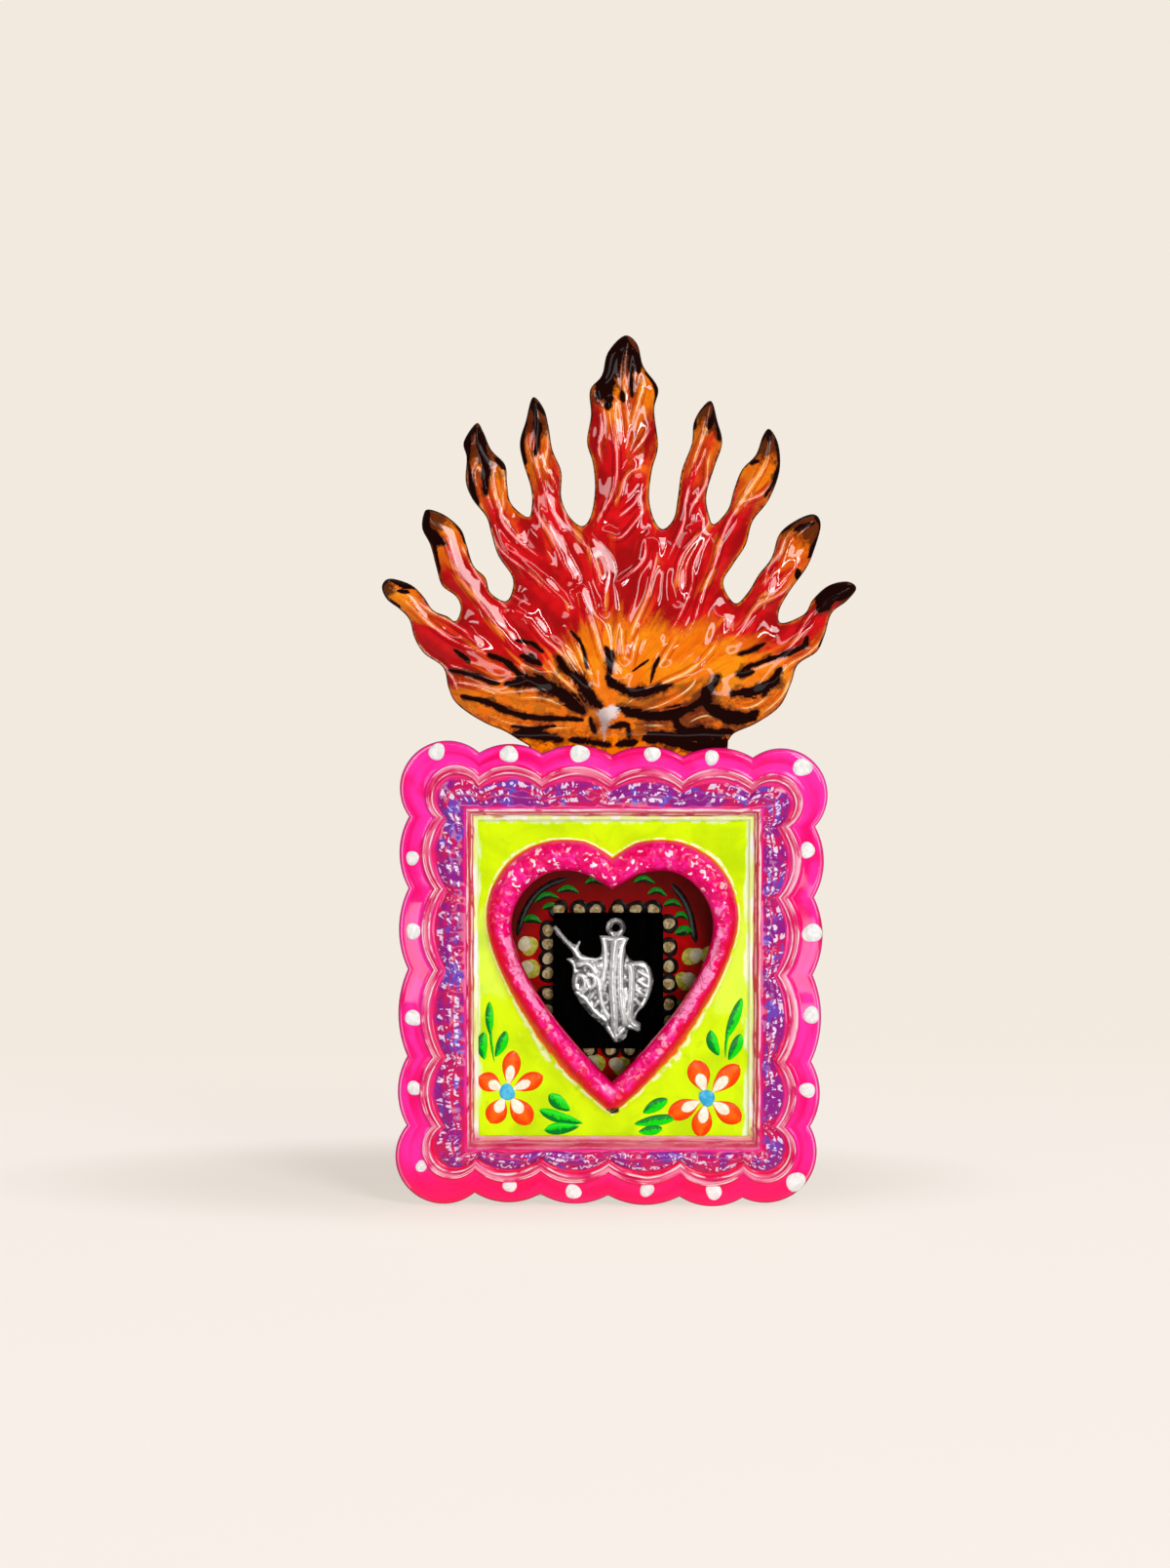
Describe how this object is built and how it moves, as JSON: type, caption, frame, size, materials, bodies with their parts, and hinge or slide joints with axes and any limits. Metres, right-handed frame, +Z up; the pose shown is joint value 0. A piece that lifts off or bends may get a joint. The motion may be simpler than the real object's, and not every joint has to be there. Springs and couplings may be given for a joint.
{
  "type": "milagro votive nicho",
  "caption": "Painted tin votive shrine: scalloped embossed front with a heart window, a shadow box holding a milagro charm, a flame crown and a hanging ring.",
  "frame": {"origin": "on the table, on the underside of the rear foot, under the middle of the box", "axes": "+Z up, +X to the right seen from the front, +Y to the back: the front faces -Y"},
  "size_m": [0.0962, 0.0355, 0.178],
  "materials": {
    "pink_lacquer": "gloss pink lacquer on embossed tin",
    "lime_enamel": "brushed lime enamel with a pink heart moulding",
    "flame_lacquer": "red, orange and black lacquer on embossed tin",
    "bare_tin": "bare tinplate",
    "red_enamel": "dark red enamel inside, bare tin behind",
    "black_lacquer": "gloss black lacquer on wood",
    "silver_charm": "polished silver-coloured casting",
    "solder": "dull solder"
  },
  "bodies": {
    "shrine": {"front_frame": "pink_lacquer", "heart_panel": "lime_enamel", "flame_crown": "flame_lacquer", "box_left_wall": "bare_tin", "box_right_wall": "bare_tin", "box_floor": "bare_tin", "box_roof": "bare_tin", "back_plate": "red_enamel", "rear_foot": "bare_tin", "display_block": "black_lacquer", "milagro_charm": "silver_charm", "hanger_strap": "bare_tin", "flange_solder_left_low": "solder", "flange_solder_left_high": "solder", "flange_solder_right_low": "solder", "flange_solder_right_high": "solder", "flange_solder_floor_left": "solder", "flange_solder_floor_right": "solder", "flange_solder_roof_left": "solder", "flange_solder_roof_right": "solder", "back_solder_left_low": "solder", "back_solder_left_high": "solder", "back_solder_right_low": "solder", "back_solder_right_high": "solder", "back_solder_floor_left": "solder", "back_solder_floor_right": "solder", "back_solder_roof_left": "solder", "back_solder_roof_right": "solder", "crown_solder_left": "solder", "crown_solder_middle": "solder", "crown_solder_right": "solder", "foot_solder_left": "solder", "foot_solder_right": "solder", "strap_solder": "solder"},
    "hanger": {"hanger_ring": "bare_tin"}
  },
  "joints": [
    {"name": "hanger_hinge", "type": "hinge", "parent": "shrine", "child": "hanger", "pos_m": [0, 0.0163, 0.074], "axis": [1, 0, 0], "range_deg": [0, 175]}
  ]
}
